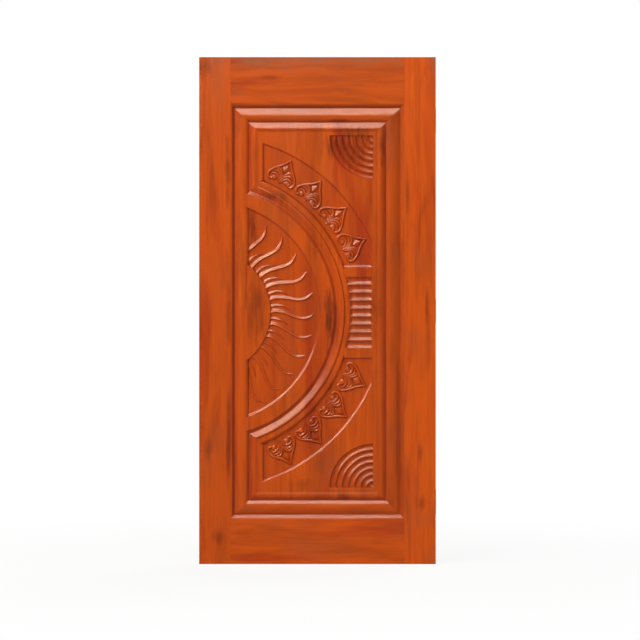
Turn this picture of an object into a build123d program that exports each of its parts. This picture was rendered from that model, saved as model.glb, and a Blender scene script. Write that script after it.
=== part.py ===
from build123d import *
import math
import os

# A framed door leaf with one carved panel, hung on three butt hinges.
# Millimetres. X runs to the right, Y to the back and Z up. The origin is the middle of the bottom edge.

# Leaf and frame members
leaf_width = 980.0
leaf_height = 2100.0
leaf_thickness = 40.0
stile_width = 130.0
top_rail_height = 194.0
bottom_rail_height = 187.0

# Joints of the frame
tenon_length = 75.0
tenon_shoulder = 34.0
mortise_clearance = 0.2
mortise_end_gap = 0.8
groove_depth = 13.0
peg_diameter = 12.0
peg_spacing = 56.0
peg_setback = 34.0
peg_point_depth = 12.0
peg_clearance = 0.1

# Panel thickness, given as depths below the front face of the frame
rebate_depth = 18.0
panel_back_depth = 30.0
panel_edge_gap = 0.8
panel_clearance = 0.1

# Front moulding: width across the strip and depths below the front face
moulding_drop_width = 17.0
moulding_round_width = 30.0
moulding_flat_width = 9.0
moulding_fall_width = 20.0
moulding_lip_depth = 0.8
moulding_valley_depth = 11.5
moulding_crest_depth = 2.0
moulding_foot_depth = 9.5

# Back moulding
back_moulding_width = 42.0
back_moulding_flat = 14.0
back_moulding_height = 8.0
back_moulding_edge = 3.0

# Raised border of the panel
border_round_width = 27.0
border_flat_width = 9.0
border_top_depth = 2.8
quirk_width = 4.0
quirk_depth = 5.0
field_depth = 2.5

# Half sun: radii from the common centre of the arcs
hub_radius = 255.0
sun_radius = 457.0
band_width = 59.0
ring_width = 74.0
carving_depth = 8.5
carving_wall_run = 6.0

# Section of the ring, from the band outwards: shares of its width, and depths below the front face
ring_section_shares = (0.125, 0.32, 0.51, 0.63, 0.77, 0.905)
ring_valley_depth = 10.0
ring_shoulder_depth = 5.0
ring_crest_depth = 0.4
ring_quirk_depth = 4.5
ring_bead_depth = 3.9
ring_edge_depth = 3.4

# Rays of the sun
ray_count = 11
ray_first_angle = 55.8
ray_step_angle = 11.47
ray_tip_gap = 25.0
ray_width = 15.0
ray_height = 6.2
ray_radius_shares = (-0.03, 0.12, 0.29, 0.45, 0.61, 0.75, 0.87, 0.96, 1.0)
ray_sway_degrees = (2.3, 2.8, 1.6, -0.3, -2.0, -2.6, -2.0, -0.8, 0.0)
ray_width_shares = (1.0, 1.0, 0.9, 0.82, 0.74, 0.66, 0.54, 0.3, 0.0)
spur_width = 11.0
spur_height = 5.4
spur_radius_shares = (-0.03, 0.1, 0.23, 0.33, 0.4)
spur_sway_degrees = (7.7, 7.7, 6.9, 5.4, 4.0)
spur_width_shares = (1.0, 1.0, 0.8, 0.5, 0.0)

# Crescents on both sides of the sun
crescent_radius = 732.0
crescent_side_margin = 20.0
crescent_half_gap = 191.5

# Leaves in the crescents
petal_angles = (25.2, 37.4, 49.6, 61.8)
petal_base_gap = 17.0
petal_tip_gap = 18.0
petal_half_width = 59.0
petal_rim_width = 9.0
petal_rim_height = 5.4
petal_frond_width = 8.5
petal_frond_height = 3.8
petal_bud_height = 4.6
petal_rim_shares = (
    (0.0, 1.0), (0.13, 0.87), (0.36, 0.69), (0.64, 0.53), (0.87, 0.38),
    (0.99, 0.23), (0.95, 0.1), (0.8, 0.03), (0.64, 0.07), (0.62, 0.15),
)
petal_rim_width_shares = (0.7, 0.85, 1.0, 1.0, 1.0, 1.0, 1.0, 1.0, 0.9, 0.5)
petal_frond_shares = (
    ((0.04, 0.2), (0.12, 0.34), (0.28, 0.45), (0.48, 0.47)),
    ((0.07, 0.12), (0.22, 0.27), (0.43, 0.36), (0.7, 0.33)),
    ((0.1, 0.04), (0.26, 0.15), (0.42, 0.22), (0.58, 0.2)),
)
petal_frond_width_shares = (0.6, 1.0, 1.0, 0.5)
petal_stem_shares = ((0.0, 0.0), (0.0, 0.18), (0.0, 0.42))
petal_stem_width_shares = (1.0, 0.8, 0.5)
petal_bud_shares = ((0.0, 0.86), (0.27, 0.6), (0.0, 0.42), (-0.27, 0.6))
petal_bud_crest_share = 0.63

# Block of straight flutes beside the sun
flute_count = 9
flute_pitch = 33.0
flute_land = 2.0
flute_depth = 5.8
flute_length = 81.0
flute_margin = 20.0

# Fans of round flutes in two corners of the field
fan_count = 7
fan_pitch = 26.0
fan_land = 1.6
fan_depth = 6.3
fan_margin = 14.0
fan_facets = 6

# Butt hinges on the back of the right edge
hinge_end_inset = 260.0
hinge_length = 100.0
hinge_knuckles = 5
hinge_plate_width = 32.0
hinge_plate_thickness = 3.0
hinge_plate_gap = 2.0
hinge_knuckle_radius = 6.5
hinge_knuckle_play = 0.2
hinge_knuckle_relief = 0.5
hinge_pin_radius = 3.5
hinge_pin_head_radius = 5.5
hinge_pin_head_height = 3.0
hinge_running_clearance = 0.05
hinge_back_gap = 0.5
hinge_jamb_gap = 1.5
hinge_recess_clearance = 0.5
screw_rows = 66.0
screw_columns = 14.0
screw_edge = 9.0
screw_radius = 2.3
screw_head_radius = 4.3
screw_head_height = 2.4
screw_length = 32.0
screw_clearance = 0.05
screw_slot_width = 1.0
screw_slot_depth = 0.9

# Room that cutting shapes take beyond the surface that they cut, and seat of raised carving in its ground
overrun = 6.0
seat = 1.2

# Worked out from the sizes above
front = -leaf_thickness / 2
back = leaf_thickness / 2
half_width = leaf_width / 2
opening_half = half_width - stile_width
opening_bottom = bottom_rail_height
opening_top = leaf_height - top_rail_height
opening_height = opening_top - opening_bottom
middle_z = (opening_top + opening_bottom) / 2
moulding_width = moulding_drop_width + moulding_round_width + moulding_flat_width + moulding_fall_width
border_width = border_round_width + border_flat_width
raised_half = opening_half - moulding_width
raised_half_height = opening_height / 2 - moulding_width
field_half = raised_half - border_width - quirk_width
field_half_height = raised_half_height - border_width - quirk_width
band_radius = sun_radius + band_width
ring_radius = band_radius + ring_width
flute_end_x = field_half - flute_margin
arc_x = flute_end_x - flute_length - ring_radius
ray_tip_radius = sun_radius - ray_tip_gap
petal_base_radius = ring_radius + petal_base_gap
petal_length = crescent_radius - petal_tip_gap - petal_base_radius
hinge_heights = (hinge_end_inset, leaf_height / 2, leaf_height - hinge_end_inset)
frame_plate_outer_x = half_width + hinge_jamb_gap
frame_plate_inner_x = frame_plate_outer_x - hinge_plate_thickness
leaf_plate_outer_x = frame_plate_inner_x - hinge_plate_gap
leaf_plate_inner_x = leaf_plate_outer_x - hinge_plate_thickness
hinge_x = frame_plate_outer_x - hinge_knuckle_radius
hinge_y = back + hinge_back_gap + hinge_knuckle_radius
tenon_thickness = panel_back_depth - rebate_depth
tenon_y = front + (panel_back_depth + rebate_depth) / 2


def block(low, high):
    """Box between two corners."""
    sizes = [b - a for a, b in zip(low, high)]
    middle = [(a + b) / 2 for a, b in zip(low, high)]
    return Pos(*middle) * Box(*sizes)


def slab(outline, deep, shallow):
    """Prism of a flat outline, drawn in X and Z, between two depths below the front face."""
    return extrude(Plane.XZ.offset(-front - deep) * outline, amount=deep - shallow, dir=(0, -1, 0))


def turned(profile):
    """Ring turned about the front-to-back axis of the arcs from (radius, depth) points."""
    points = [(radius, front + depth) for radius, depth in profile]
    face = make_face(Polyline(points, close=True))
    return Pos(arc_x, 0, middle_z) * revolve(face, axis=Axis.Y, revolution_arc=360)


def ridge(places, widths, height, ground):
    """Sharp-crested ridge along (x, z) places, seated a little below its ground."""
    foot_y = front + ground + seat
    crest_y = front + ground - height
    widest = max(widths)
    stations = []
    for index, (x, z) in enumerate(places):
        before = places[max(index - 1, 0)]
        after = places[min(index + 1, len(places) - 1)]
        run = math.hypot(after[0] - before[0], after[1] - before[1])
        side_x = -(after[1] - before[1]) / run * widths[index] / 2
        side_z = (after[0] - before[0]) / run * widths[index] / 2
        rise = min(1, 2 * widths[index] / widest)
        left = Vector(x + side_x, foot_y, z + side_z)
        right = Vector(x - side_x, foot_y, z - side_z)
        crest = Vector(x, foot_y + (crest_y - foot_y) * rise, z)
        stations.append((left, crest, right))
    triangles = []
    if widths[0] > 0:
        triangles.append(stations[0])
    if widths[-1] > 0:
        triangles.append(stations[-1])
    for index in range(len(stations) - 1):
        here, there = stations[index], stations[index + 1]
        for first, second in ((0, 1), (1, 2), (2, 0)):
            triangles.append((here[first], here[second], there[second]))
            triangles.append((here[first], there[second], there[first]))
    faces = []
    for corners in triangles:
        sides = [(corners[n] - corners[n - 1]).length for n in range(len(corners))]
        if min(sides) > 0:
            faces.append(Face(Wire.make_polygon(corners, close=True)))
    return Solid(Shell(faces))


def point_about_centre(radius, degrees):
    """Place on the panel at a radius and an angle from the centre of the arcs."""
    angle = math.radians(degrees)
    return arc_x + radius * math.cos(angle), middle_z + radius * math.sin(angle)


# Frame members

def peg_places():
    """Pegs stand in pairs on the middle line of each tenon, near the shoulder."""
    places = []
    for low, high in ((0, opening_bottom), (opening_top, leaf_height)):
        for side in (-1, 1):
            for step in (-1, 1):
                x = side * (opening_half + peg_setback)
                places.append((x, (low + high) / 2 + step * peg_spacing / 2))
    return places


def peg_bar(x, z, radius, end_y):
    """Round bar from the back face towards the front."""
    length = back - end_y
    return Pos(x, (back + end_y) / 2, z) * Rot(90, 0, 0) * Cylinder(radius, length)


def peg_holes():
    end_y = front + peg_point_depth
    return [peg_bar(x, z, peg_diameter / 2 + peg_clearance, end_y) for x, z in peg_places()]


def screw_places(height):
    """Four holes in a rectangle, given by their Y and Z."""
    first_y = back - hinge_plate_width + screw_edge
    rows = (height - screw_rows / 2, height + screw_rows / 2)
    return [(first_y + column, z) for z in rows for column in (0, screw_columns)]


def stile(side):
    """Upright with a panel groove, two mortises and peg holes; the right one also takes the hinges."""
    inner = side * opening_half
    outer = side * half_width
    body = block((min(inner, outer), front, 0), (max(inner, outer), back, leaf_height))
    groove_end = inner + side * groove_depth
    groove = block(
        (min(inner, groove_end), front + rebate_depth - panel_clearance, opening_bottom - groove_depth),
        (max(inner, groove_end), front + panel_back_depth + panel_clearance, opening_top + groove_depth),
    )
    cuts = [groove]
    mortise_end = inner + side * (tenon_length + mortise_end_gap)
    half_thick = tenon_thickness / 2 + mortise_clearance
    for low, high in ((0, opening_bottom), (opening_top, leaf_height)):
        cuts.append(block(
            (min(inner, mortise_end), tenon_y - half_thick, low + tenon_shoulder - mortise_clearance),
            (max(inner, mortise_end), tenon_y + half_thick, high - tenon_shoulder + mortise_clearance),
        ))
    cuts.extend(peg_holes())
    if side > 0:
        cuts.extend(hinge_recesses())
    return body - cuts


def rail(low, high, inner, inward):
    """Cross member with a tenon on each end and a panel groove in its inner edge."""
    body = block((-opening_half, front, low), (opening_half, back, high))
    reach = opening_half + tenon_length
    tenons = block(
        (-reach, tenon_y - tenon_thickness / 2, low + tenon_shoulder),
        (reach, tenon_y + tenon_thickness / 2, high - tenon_shoulder),
    )
    groove_end = inner - inward * groove_depth
    groove = block(
        (-opening_half, front + rebate_depth - panel_clearance, min(inner, groove_end)),
        (opening_half, front + panel_back_depth + panel_clearance, max(inner, groove_end)),
    )
    return (body + tenons) - [groove] - peg_holes()


def tenon_pegs():
    end_y = front + peg_point_depth + peg_clearance
    return [peg_bar(x, z, peg_diameter / 2, end_y) for x, z in peg_places()]


# Moulding strips

def round_middle(start, end):
    """Middle of the arc that climbs from start and runs level into end, in across and depth."""
    across = end[0] - start[0]
    rise = start[1] - end[1]
    radius = (across ** 2 + rise ** 2) / (2 * rise)
    half_angle = math.asin(across / radius) / 2
    return end[0] - radius * math.sin(half_angle), end[1] + radius * (1 - math.cos(half_angle))


def rounded_section(start, end, rest):
    """Section of a strip with a quarter round from start to end and straight sides through the rest."""
    places = [start, round_middle(start, end), end] + list(rest)
    points = [(0, front + depth, -across) for across, depth in places]
    return make_face([ThreePointArc(*points[:3]), Polyline(*points[2:], points[0])])


def front_section():
    """Front strip: a sloped drop from the frame, a quarter round, a flat and a fall to the panel."""
    valley = (moulding_drop_width, moulding_valley_depth)
    shoulder = (moulding_drop_width + moulding_round_width, moulding_crest_depth)
    crest = (shoulder[0] + moulding_flat_width, moulding_crest_depth)
    foot = (moulding_width, moulding_foot_depth)
    lip = (0, moulding_lip_depth)
    inner_back = (moulding_width, rebate_depth)
    return rounded_section(valley, shoulder, (crest, foot, inner_back, (0, rebate_depth), lip))


def border_section():
    """Raised border of the panel: a quarter round and a narrow flat."""
    foot = (0, moulding_foot_depth)
    shoulder = (border_round_width, border_top_depth)
    crest = (border_width, border_top_depth)
    return rounded_section(foot, shoulder, (crest, (border_width, rebate_depth), (0, rebate_depth)))


def back_section():
    """Back strip: a flat and a long bevel."""
    panel_back = front + panel_back_depth
    top = panel_back + back_moulding_height
    points = [
        (0, panel_back, 0),
        (0, top, 0),
        (0, top, -back_moulding_flat),
        (0, panel_back + back_moulding_edge, -back_moulding_width),
        (0, panel_back, -back_moulding_width),
    ]
    return make_face(Polyline(points, close=True))


def strip(section, width, length):
    """Mitred strip along X, outer edge at Z zero."""
    half = length / 2
    long_bar = Pos(-half, 0, 0) * extrude(section, amount=length, dir=(1, 0, 0))
    outline = Polygon((-half, 0), (half, 0), (half - width, -width), (-half + width, -width), align=None)
    return long_bar & slab(outline, leaf_thickness, 0)


def strips_inside(section, width, half, half_height):
    """Four mitred strips that line a rectangle about the middle of the panel."""
    wide = strip(section, width, 2 * half)
    tall = strip(section, width, 2 * half_height)
    return {
        "top": Pos(0, 0, middle_z + half_height) * wide,
        "bottom": Pos(0, 0, middle_z - half_height) * Rot(0, 180, 0) * wide,
        "left": Pos(-half, 0, middle_z) * Rot(0, -90, 0) * tall,
        "right": Pos(half, 0, middle_z) * Rot(0, 90, 0) * tall,
    }


def mouldings():
    nodes = {}
    for name, section, width in (
        ("front_moulding", front_section(), moulding_width),
        ("back_moulding", back_section(), back_moulding_width),
    ):
        for side, solid in strips_inside(section, width, opening_half, opening_height / 2).items():
            nodes[name + "_" + side] = solid
    return nodes


# Carved panel

def panel_rectangle(half, half_height):
    return Pos(0, middle_z) * Rectangle(2 * half, 2 * half_height)


def panel_blank():
    """Board with a tongue all round, a rounded border, a fine quirk and a flat field."""
    tongue_reach = groove_depth - panel_edge_gap
    tongue = slab(
        panel_rectangle(opening_half + tongue_reach, opening_height / 2 + tongue_reach),
        panel_back_depth,
        rebate_depth,
    )
    border = strips_inside(border_section(), border_width, raised_half, raised_half_height)
    inside = panel_rectangle(raised_half - border_width, raised_half_height - border_width)
    ground = slab(inside, rebate_depth, quirk_depth)
    field = slab(panel_rectangle(field_half, field_half_height), rebate_depth, field_depth)
    return tongue + list(border.values()) + ground + field


def right_of_moulding(solid):
    """Part of a round shape that lies on the panel side of the left moulding strip."""
    reach = ring_radius + crescent_radius
    return solid & block(
        (-raised_half, front - overrun, middle_z - reach),
        (arc_x + reach, back, middle_z + reach),
    )


def sun_ground():
    """Round stock of the hub, band and ring, which runs over the border to the moulding."""
    hub = turned(((0, rebate_depth), (0, field_depth), (hub_radius, field_depth), (hub_radius, rebate_depth)))
    ring = turned((
        (hub_radius, rebate_depth),
        (hub_radius, ring_crest_depth),
        (ring_radius, ring_crest_depth),
        (ring_radius, rebate_depth),
    ))
    return right_of_moulding(hub + ring)


def sun_hollow():
    """Space that is carved away in front of the rays, the band and the ring."""
    profile = [
        (hub_radius - carving_wall_run / 2, -overrun),
        (hub_radius - carving_wall_run / 2, field_depth),
        (hub_radius + carving_wall_run / 2, carving_depth),
        (sun_radius - carving_wall_run / 2, carving_depth),
        (sun_radius + carving_wall_run / 2, field_depth),
        (band_radius, field_depth),
    ]
    ring_depths = (
        ring_valley_depth,
        ring_shoulder_depth,
        ring_crest_depth,
        ring_quirk_depth,
        ring_bead_depth,
        ring_edge_depth,
    )
    for share, depth in zip(ring_section_shares, ring_depths):
        profile.append((band_radius + share * ring_width, depth))
    profile.append((ring_radius, carving_depth))
    profile.append((ring_radius, -overrun))
    return right_of_moulding(turned(profile))


def crescent_hollow(side):
    """Recess between two arcs, with sloped walls; side is 1 above the sun and -1 below it."""
    slope = carving_wall_run / (carving_depth - field_depth)
    lift = carving_depth + overrun
    ground_radius = crescent_radius - carving_wall_run / 2
    ring = turned((
        (ring_radius, carving_depth),
        (ground_radius, carving_depth),
        (ground_radius + slope * lift, -overrun),
        (ring_radius, -overrun),
    ))
    inset = carving_wall_run / 2
    half = field_half - crescent_side_margin - inset
    near = crescent_half_gap + inset
    far = crescent_radius + ring_radius
    outline = Pos(0, middle_z + side * (near + far) / 2) * Rectangle(2 * half, far - near)
    grown = Pos(0, middle_z + side * (near + far) / 2) * Rectangle(
        2 * (half + slope * lift), far - near + 2 * slope * lift)
    low = Plane.XZ.offset(-front - carving_depth) * outline
    high = Plane.XZ.offset(-front + overrun) * grown
    return ring & loft([low, high])


def scoop(width, depth):
    """Radius of a round cutter that leaves a groove of this width and depth."""
    return (width ** 2 / 4 + depth ** 2) / (2 * depth)


def flute_block():
    """Straight round-bottomed grooves from the ring to the margin of the field."""
    radius = scoop(flute_pitch - flute_land, flute_depth)
    axis_y = front + field_depth + flute_depth - radius
    half_height = flute_count * flute_pitch / 2
    start_x = arc_x + math.sqrt(ring_radius ** 2 - half_height ** 2) - flute_pitch
    length = flute_end_x - start_x
    bars = []
    for index in range(flute_count):
        z = middle_z + (index - (flute_count - 1) / 2) * flute_pitch
        bar = Pos(start_x + length / 2, axis_y, z) * Rot(0, 90, 0) * Cylinder(radius, length)
        row = block(
            (start_x, front, z - flute_pitch / 2),
            (flute_end_x, back, z + flute_pitch / 2),
        )
        bars.append(bar & row)
    plug_radius = ring_radius + flute_land
    plug = turned((
        (0, leaf_thickness),
        (0, -overrun),
        (plug_radius, -overrun),
        (plug_radius, leaf_thickness),
    ))
    return [bar - plug for bar in bars]


def fan_hollows(side):
    """Quarter-round grooves about a point near a corner of the field."""
    centre_x = field_half - fan_margin
    centre_z = middle_z + side * (field_half_height - fan_margin)
    radius = scoop(fan_pitch - fan_land, fan_depth)
    axis_depth = field_depth + fan_depth - radius
    half_angle = math.asin((fan_pitch - fan_land) / 2 / radius)
    hollows = []
    for index in range(fan_count):
        middle = (index + 1 / 2) * fan_pitch
        half = radius * math.sin(half_angle)
        points = [(middle - half, front), (middle + half, front)]
        for step in range(fan_facets + 1):
            turn = half_angle * (1 - 2 * step / fan_facets)
            points.append((middle + radius * math.sin(turn), front + axis_depth + radius * math.cos(turn)))
        groove = revolve(make_face(Polyline(points, close=True)), axis=Axis.Y, revolution_arc=90)
        first = 90 if side > 0 else 180
        hollows.append(Pos(centre_x, 0, centre_z) * Rot(0, first, 0) * groove)
    return hollows


def swayed_ridge(tip_angle, radius_shares, sways, width_shares, width, height):
    """Ray that sways about its own angle between the hub and its tip."""
    reach = ray_tip_radius - hub_radius
    places = [
        point_about_centre(hub_radius + share * reach, tip_angle + sway)
        for share, sway in zip(radius_shares, sways)
    ]
    return ridge(places, [share * width for share in width_shares], height, carving_depth)


def rays():
    """Long wavy rays with a short spur in each gap between them."""
    made = []
    for index in range(ray_count):
        angle = ray_first_angle - index * ray_step_angle
        made.append(swayed_ridge(angle, ray_radius_shares, ray_sway_degrees, ray_width_shares,
                                 ray_width, ray_height))
        made.append(swayed_ridge(angle, spur_radius_shares, spur_sway_degrees, spur_width_shares,
                                 spur_width, spur_height))
    return made


def petal_place(angle, share, mirror):
    """Place in a leaf from its shares of half width and length; the leaf points away from the centre."""
    across = share[0] * petal_half_width * mirror
    along = petal_base_radius + share[1] * petal_length
    turn = math.radians(angle)
    x = arc_x + along * math.cos(turn) - across * math.sin(turn)
    z = middle_z + along * math.sin(turn) + across * math.cos(turn)
    return x, z


def petal_ridge(angle, shares, width_shares, width, height, mirror):
    places = [petal_place(angle, share, mirror) for share in shares]
    return ridge(places, [share * width for share in width_shares], height, carving_depth)


def petal(angle):
    """Heart-shaped leaf: a rim that curls in at the base, a faceted bud, a stem and nested fronds."""
    pieces = []
    for mirror in (-1, 1):
        pieces.append(petal_ridge(angle, petal_rim_shares, petal_rim_width_shares,
                                  petal_rim_width, petal_rim_height, mirror))
        for shares in petal_frond_shares:
            pieces.append(petal_ridge(angle, shares, petal_frond_width_shares,
                                      petal_frond_width, petal_frond_height, mirror))
    pieces.append(petal_ridge(angle, petal_stem_shares, petal_stem_width_shares,
                              petal_frond_width, petal_frond_height, 1))
    crest_x, crest_z = petal_place(angle, (0, petal_bud_crest_share), 1)
    crest = Vector(crest_x, front + carving_depth - petal_bud_height, crest_z)
    foot = []
    for share in petal_bud_shares:
        x, z = petal_place(angle, share, 1)
        foot.append(Vector(x, front + carving_depth + seat, z))
    faces = [Face(Wire.make_polygon(foot, close=True))]
    for index in range(len(foot)):
        faces.append(Face(Wire.make_polygon((foot[index - 1], foot[index], crest), close=True)))
    pieces.append(Solid(Shell(faces)))
    return pieces


def carved_panel():
    board = panel_blank() + sun_ground()
    hollows = [sun_hollow(), crescent_hollow(1), crescent_hollow(-1)]
    hollows.extend(flute_block())
    hollows.extend(fan_hollows(1))
    hollows.extend(fan_hollows(-1))
    board = board - hollows
    raised = [right_of_moulding(ray) for ray in rays()]
    for angle in petal_angles:
        raised.extend(petal(angle))
        raised.extend(petal(-angle))
    return board + raised


# Hinges

def hinge_recesses():
    """Housings in the stile's edge, open at the back, with pilot holes for the screws."""
    cuts = []
    for height in hinge_heights:
        half = hinge_length / 2 + hinge_recess_clearance
        cuts.append(block(
            (leaf_plate_inner_x, back - hinge_plate_width - hinge_recess_clearance, height - half),
            (half_width, back, height + half),
        ))
        end_x = leaf_plate_outer_x - screw_length - screw_clearance
        for y, z in screw_places(height):
            cuts.append(bar_along_x(end_x, leaf_plate_inner_x, y, z, screw_radius + screw_clearance))
    return cuts


def bar_along_x(low, high, y, z, radius):
    return Pos((low + high) / 2, y, z) * Rot(0, 90, 0) * Cylinder(radius, high - low)


def countersunk_hole(face_x, into, y, z):
    """Screw hole through a plate; the cone opens on the face that the screw goes in from."""
    through = hinge_plate_thickness
    straight = bar_along_x(min(face_x, face_x + into * through), max(face_x, face_x + into * through),
                           y, z, screw_radius + screw_clearance)
    cone = Cone(screw_radius + screw_clearance, screw_head_radius + screw_clearance, screw_head_height)
    turn = -90 * into
    return straight + Pos(face_x + into * screw_head_height / 2, y, z) * Rot(0, turn, 0) * cone


def knuckle_span(index):
    """Lower and upper end of one knuckle from the hinge's middle."""
    step = hinge_length / hinge_knuckles
    low = -hinge_length / 2 + index * step
    return low, low + step


def hinge_plate(height, inner_x, own_knuckles, other_knuckles, face_x, into):
    """Plate with its rolled knuckles, bored for the pin and cut back around the other plate's knuckles."""
    plate = block(
        (inner_x, back - hinge_plate_width, height - hinge_length / 2),
        (inner_x + hinge_plate_thickness, hinge_y, height + hinge_length / 2),
    )
    for index in other_knuckles:
        low, high = knuckle_span(index)
        reach = hinge_knuckle_radius + hinge_knuckle_relief
        gap = Pos(hinge_x, hinge_y, height + (low + high) / 2) * Cylinder(reach, high - low)
        plate = plate - gap
    for index in own_knuckles:
        low, high = knuckle_span(index)
        tall = high - low - 2 * hinge_knuckle_play
        knuckle = Cylinder(hinge_knuckle_radius, tall)
        plate = plate + Pos(hinge_x, hinge_y, height + (low + high) / 2) * knuckle
    bore = Pos(hinge_x, hinge_y, height) * Cylinder(hinge_pin_radius + hinge_running_clearance, hinge_length)
    holes = [countersunk_hole(face_x, into, screw_y, screw_z) for screw_y, screw_z in screw_places(height)]
    return plate - [bore] - holes


def hinge_pin(height):
    """Loose pin with a flat round head that rests on the frame plate's top edge."""
    top = height + hinge_length / 2
    bottom = height - hinge_length / 2
    pin = Pos(hinge_x, hinge_y, (top + bottom) / 2) * Cylinder(hinge_pin_radius, top - bottom)
    head = Cylinder(hinge_pin_head_radius, hinge_pin_head_height)
    return pin + Pos(hinge_x, hinge_y, top + hinge_pin_head_height / 2) * head


def hinge_screw(y, z):
    """Countersunk slotted screw, its head flush with the leaf plate."""
    outer_x = leaf_plate_outer_x
    shank = bar_along_x(outer_x - screw_length, outer_x, y, z, screw_radius)
    cone = Cone(screw_radius, screw_head_radius, screw_head_height)
    head = Pos(outer_x - screw_head_height / 2, y, z) * Rot(0, 90, 0) * cone
    slot = block(
        (outer_x - screw_slot_depth, y - screw_head_radius, z - screw_slot_width / 2),
        (outer_x, y + screw_head_radius, z + screw_slot_width / 2),
    )
    return shank + head - slot


def hinges():
    nodes = {}
    frame_side = [index for index in range(hinge_knuckles) if index % 2 == 0]
    leaf_side = [index for index in range(hinge_knuckles) if index % 2 == 1]
    for name, height in zip(("bottom", "middle", "top"), hinge_heights):
        nodes["hinge_" + name + "_leaf_plate"] = hinge_plate(
            height, leaf_plate_inner_x, leaf_side, frame_side, leaf_plate_outer_x, -1)
        nodes["hinge_" + name + "_frame_plate"] = hinge_plate(
            height, frame_plate_inner_x, frame_side, leaf_side, frame_plate_inner_x, 1)
        nodes["hinge_" + name + "_pin"] = hinge_pin(height)
    screws = [hinge_screw(y, z) for height in hinge_heights for y, z in screw_places(height)]
    nodes["hinge_screws"] = Compound(screws)
    return nodes


nodes = {
    "left_stile": stile(-1),
    "right_stile": stile(1),
    "top_rail": rail(opening_top, leaf_height, opening_top, -1),
    "bottom_rail": rail(0, opening_bottom, opening_bottom, 1),
    "tenon_pegs": Compound(tenon_pegs()),
    "carved_panel": carved_panel(),
}
nodes.update(mouldings())
nodes.update(hinges())

for name, shape in nodes.items():
    export_step(shape, "parts/" + name + ".step")
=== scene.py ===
"""Looks of a carved timber door leaf: fine carving, eased mouldings, lacquered wood and brass hinges.

Lengths in the tables are millimetres. Places on the leaf are given as across (X), depth below the
front face of the frame, and height (Z). Shares are parts of the length that they belong to.
"""

import math
from collections import namedtuple

import bmesh
import bpy
import numpy as np
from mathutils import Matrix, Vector
from mathutils.geometry import delaunay_2d_cdt


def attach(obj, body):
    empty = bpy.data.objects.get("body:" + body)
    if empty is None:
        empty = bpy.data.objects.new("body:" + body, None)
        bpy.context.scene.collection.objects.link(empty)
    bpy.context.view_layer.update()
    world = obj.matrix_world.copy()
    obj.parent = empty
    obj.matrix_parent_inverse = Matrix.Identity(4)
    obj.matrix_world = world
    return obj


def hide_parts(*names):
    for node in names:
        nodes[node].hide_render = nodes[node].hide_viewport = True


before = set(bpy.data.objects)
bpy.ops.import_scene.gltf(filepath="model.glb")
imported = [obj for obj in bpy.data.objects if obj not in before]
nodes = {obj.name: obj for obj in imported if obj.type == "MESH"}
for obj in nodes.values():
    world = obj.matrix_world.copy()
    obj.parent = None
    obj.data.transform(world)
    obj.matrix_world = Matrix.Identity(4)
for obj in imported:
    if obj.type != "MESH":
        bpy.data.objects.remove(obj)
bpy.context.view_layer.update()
mm = 0.001

# Kinds of settings: ridges of the sun and of the leaves, patterns stretched along the grain in waves to
# a metre, and lamps in metres and watts with the gain of their reflections
Ray = namedtuple("Ray", "width top_height low_height radius_shares width_shares top_sways low_sways")
Ridge = namedtuple("Ridge", "width height crest width_shares places")
Grain = namedtuple("Grain", "across along detail roughness distortion", defaults=(0.55, 0.0))
Softbox = namedtuple("Softbox", "place aim_height width depth power colour gloss_gain")

# Leaf
front_y = -20.0
opening_half = 360.0
opening_low = 187.0
opening_high = 1906.0
rebate_depth = 18.0
panel_back_depth = 30.0
panel_tongue = 12.2
frame_edge_round = 0.6
frame_edge_segments = 2
frame_edge_degrees = 40.0
frame_weld = 0.01

# Eased corners and smooth shading
sharp_degrees = 38.0
corner_least_degrees = 18.0
border_least_degrees = 8.0
corner_steps = 4
corner_guard_share = 0.5
corner_reach_share = 0.45
round_steps = 14
round_flat_share = 0.4

# Front and back mouldings
moulding_drop_width = 17.0
moulding_round_width = 30.0
moulding_flat_width = 9.0
moulding_fall_width = 20.0
moulding_lip_depth = 0.8
moulding_shoulder_width = 6.0
moulding_shoulder_depth = 2.3
moulding_valley_depth = 11.5
moulding_crest_depth = 2.0
moulding_foot_depth = 10.6
moulding_ease = 2.2
moulding_roll_width = 3.0
moulding_roll_depth = 0.3
back_moulding_width = 42.0
back_moulding_flat = 14.0
back_moulding_height = 8.0
back_moulding_edge = 3.0
back_moulding_ease = 1.5

# Panel border and field
border_round_width = 27.0
border_slope_width = 10.0
border_top_depth = 1.5
border_quirk_width = 3.0
border_quirk_depth = 3.8
border_top_quirk_depth = 5.0
border_tuck = 0.5
border_ease = 2.0
field_depth = 2.5
field_weld_digits = 4
field_weld = 1e-5

# Sun, band and ring
flute_length = 81.0
arc_drop = 3.5
hub_radius = 255.0
sun_radius = 457.0
band_width = 59.0
ring_width = 74.0
carving_depth = 8.5
wall_half_run = 3.8
wall_guard = 2.4
wall_ease = 2.6
ring_ease = 2.4
ring_valley = (0.165, 9.2)
ring_foot = (0.62, 5.4)
ring_brink = (0.87, 4.6)
ring_section = (
    (-0.01, field_depth), ring_valley, (0.50, 0.4), (0.575, 1.4),
    ring_foot, (0.68, 4.5), ring_brink, (1.0, carving_depth),
)
ring_tuck = 2.0
level_slack = 0.5
hub_start = 1.0
sun_columns = 260

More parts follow.
